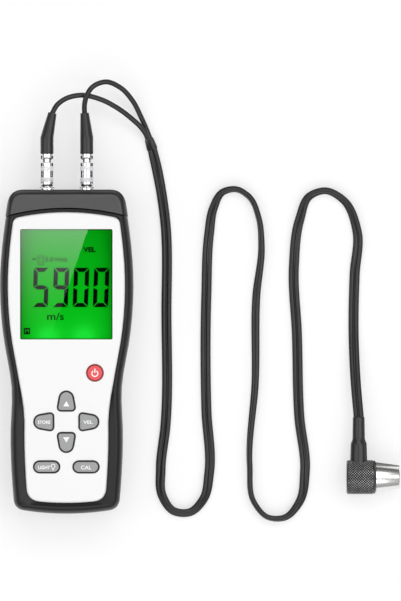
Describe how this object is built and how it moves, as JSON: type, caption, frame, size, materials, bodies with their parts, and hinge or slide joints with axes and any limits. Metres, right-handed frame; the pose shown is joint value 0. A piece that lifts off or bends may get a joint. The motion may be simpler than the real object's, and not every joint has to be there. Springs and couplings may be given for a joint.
{
  "type": "ultrasonic thickness gauge",
  "caption": "Handheld ultrasonic thickness gauge with a screen, press keys, a battery bay and an angled probe on a twin cord, joined by coaxial plugs with release sleeves",
  "frame": {"origin": "middle of the case's back face", "axes": "X to the right of the screen, Y towards the plugs, Z out of the screen"},
  "size_m": [0.2162, 0.2397, 0.0326],
  "materials": {
    "case_dark": "fine-textured moulded plastic",
    "cap_grey": "fine-textured moulded plastic",
    "panel_white": "smooth satin plastic",
    "window_clear": "polished clear plastic",
    "lcd_green": "backlit display glass",
    "frame_white": "moulded plastic",
    "guide_clear": "polished light guide",
    "lamp_green": "small lamps",
    "contact_rubber": "layered elastomer",
    "board_green": "solder-masked board",
    "screw_steel": "zinc-plated",
    "switch_black": "moulded plastic",
    "key_grey": "matt silicone",
    "key_red": "matt silicone",
    "cell_wrap": "printed wrap",
    "spring_steel": "bright wire and strip",
    "plug_chrome": "polished chrome",
    "cord_jacket": "satin cord jacket",
    "boot_rubber": "matt moulded rubber",
    "grip_black": "black anodised, knurled",
    "nose_steel": "turned and polished",
    "delay_plastic": "lapped clear plastic",
    "barrier_cork": "cork",
    "crystal_ceramic": "silvered ceramic"
  },
  "bodies": {
    "gauge": {"rear_cover": "case_dark", "front_cover": "case_dark", "top_cap": "cap_grey", "front_panel": "panel_white", "display_window": "window_clear", "lcd_glass": "lcd_green", "lcd_frame": "frame_white", "backlight_guide": "guide_clear", "backlight_lamps": "lamp_green", "contact_strip": "contact_rubber", "main_board": "board_green", "board_screws": "screw_steel", "key_switches": "switch_black", "battery_1": "cell_wrap", "battery_2": "cell_wrap", "battery_3": "cell_wrap", "battery_4": "cell_wrap", "battery_springs": "spring_steel", "battery_contacts": "spring_steel", "battery_pins": "spring_steel", "case_screws": "screw_steel", "left_socket": "plug_chrome", "right_socket": "plug_chrome", "left_socket_nut": "plug_chrome", "right_socket_nut": "plug_chrome", "socket_leads": "cord_jacket", "left_plug_core": "plug_chrome", "right_plug_core": "plug_chrome", "left_collet_nut": "plug_chrome", "right_collet_nut": "plug_chrome", "left_boot": "boot_rubber", "right_boot": "boot_rubber", "left_lead": "cord_jacket", "right_lead": "cord_jacket", "cord_splitter": "boot_rubber", "twin_cord": "cord_jacket", "probe_boot": "boot_rubber", "probe_grip": "grip_black", "probe_nose": "nose_steel", "upper_delay_line": "delay_plastic", "lower_delay_line": "delay_plastic", "acoustic_barrier": "barrier_cork", "crystals": "crystal_ceramic"},
    "power_key": {"power_key": "key_red"},
    "up_key": {"up_key": "key_grey"},
    "down_key": {"down_key": "key_grey"},
    "left_key": {"left_key": "key_grey"},
    "right_key": {"right_key": "key_grey"},
    "light_key": {"light_key": "key_grey"},
    "cal_key": {"cal_key": "key_grey"},
    "battery_door": {"battery_door": "case_dark"},
    "left_release_sleeve": {"left_release_sleeve": "plug_chrome"},
    "right_release_sleeve": {"right_release_sleeve": "plug_chrome"}
  },
  "joints": [
    {"name": "power_key_press", "type": "slide", "parent": "gauge", "child": "power_key", "axis": [0, 0, -1], "range_m": [0, 0.0008], "stiffness_N_per_m": 1500},
    {"name": "up_key_press", "type": "slide", "parent": "gauge", "child": "up_key", "axis": [0, 0, -1], "range_m": [0, 0.0008], "stiffness_N_per_m": 1500},
    {"name": "down_key_press", "type": "slide", "parent": "gauge", "child": "down_key", "axis": [0, 0, -1], "range_m": [0, 0.0008], "stiffness_N_per_m": 1500},
    {"name": "left_key_press", "type": "slide", "parent": "gauge", "child": "left_key", "axis": [0, 0, -1], "range_m": [0, 0.0008], "stiffness_N_per_m": 1500},
    {"name": "right_key_press", "type": "slide", "parent": "gauge", "child": "right_key", "axis": [0, 0, -1], "range_m": [0, 0.0008], "stiffness_N_per_m": 1500},
    {"name": "light_key_press", "type": "slide", "parent": "gauge", "child": "light_key", "axis": [0, 0, -1], "range_m": [0, 0.0008], "stiffness_N_per_m": 1500},
    {"name": "cal_key_press", "type": "slide", "parent": "gauge", "child": "cal_key", "axis": [0, 0, -1], "range_m": [0, 0.0008], "stiffness_N_per_m": 1500},
    {"name": "battery_door_slide", "type": "slide", "parent": "gauge", "child": "battery_door", "axis": [0, -1, 0], "range_m": [0, 0.05]},
    {"name": "left_sleeve_release", "type": "slide", "parent": "gauge", "child": "left_release_sleeve", "axis": [0, 1, 0], "range_m": [0, 0.0012], "stiffness_N_per_m": 1000},
    {"name": "right_sleeve_release", "type": "slide", "parent": "gauge", "child": "right_release_sleeve", "axis": [0, 1, 0], "range_m": [0, 0.0012], "stiffness_N_per_m": 1000}
  ]
}
